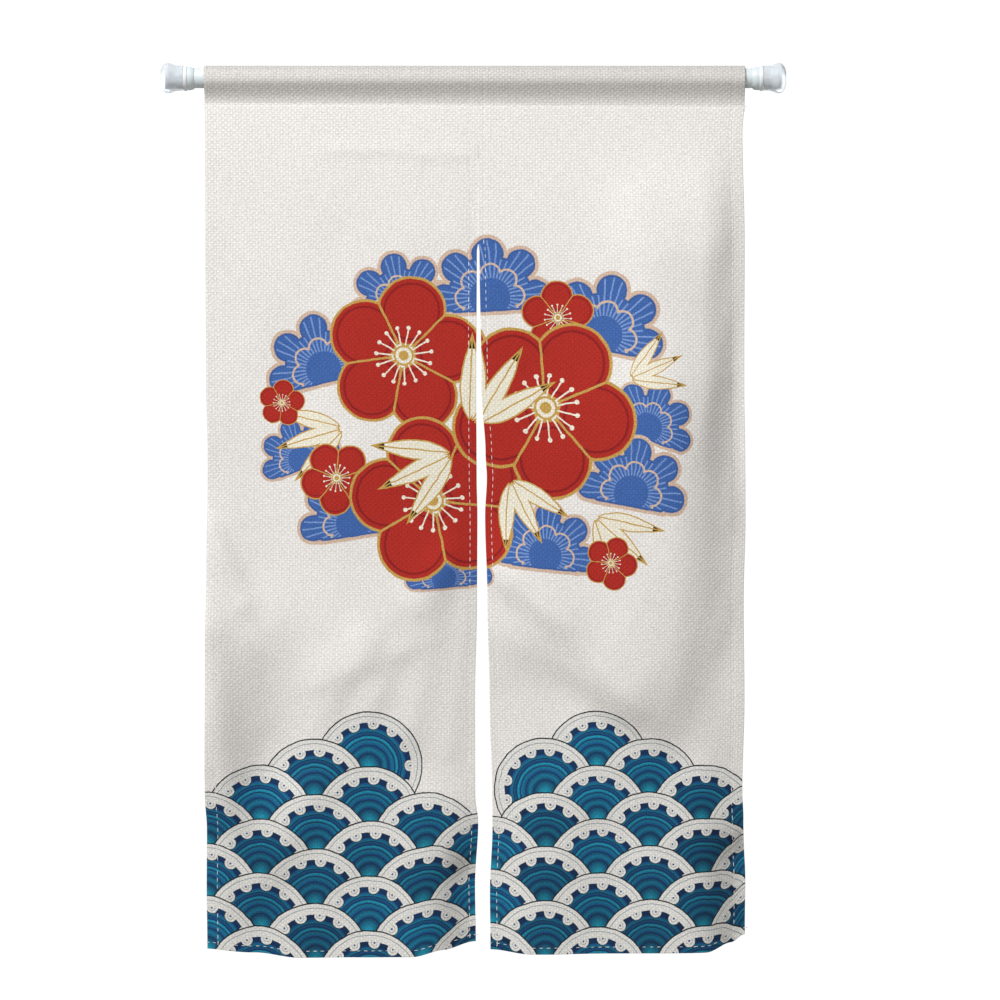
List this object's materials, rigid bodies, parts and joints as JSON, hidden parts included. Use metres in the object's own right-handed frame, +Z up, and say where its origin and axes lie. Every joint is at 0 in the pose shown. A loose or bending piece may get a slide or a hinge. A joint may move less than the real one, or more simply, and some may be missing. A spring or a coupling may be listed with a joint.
{
  "type": "noren doorway curtain on a tension rod",
  "caption": "Two-panel doorway curtain of woven cloth with a long centre slit, hung by a sewn pocket from a round tension rod with rubber feet.",
  "frame": {"origin": "centre of the flat end face of the rod's left rubber foot, where it meets the door jamb", "axes": "+X along the rod to its right end, +Z up, and the printed front of the cloth faces -Y"},
  "size_m": [1, 0.0667, 1.4318],
  "materials": {
    "cloth": "coarse plain weave, off-white with a printed front",
    "rod_paint": "pale grey-white satin paint",
    "ferrule_plastic": "white moulded gloss",
    "foot_rubber": "cloudy clear moulded"
  },
  "bodies": {
    "root": {"left_panel": "cloth", "right_panel": "cloth", "rod_tube": "rod_paint", "left_ferrule": "ferrule_plastic", "right_ferrule": "ferrule_plastic", "left_foot": "foot_rubber", "right_foot": "foot_rubber"}
  },
  "joints": []
}
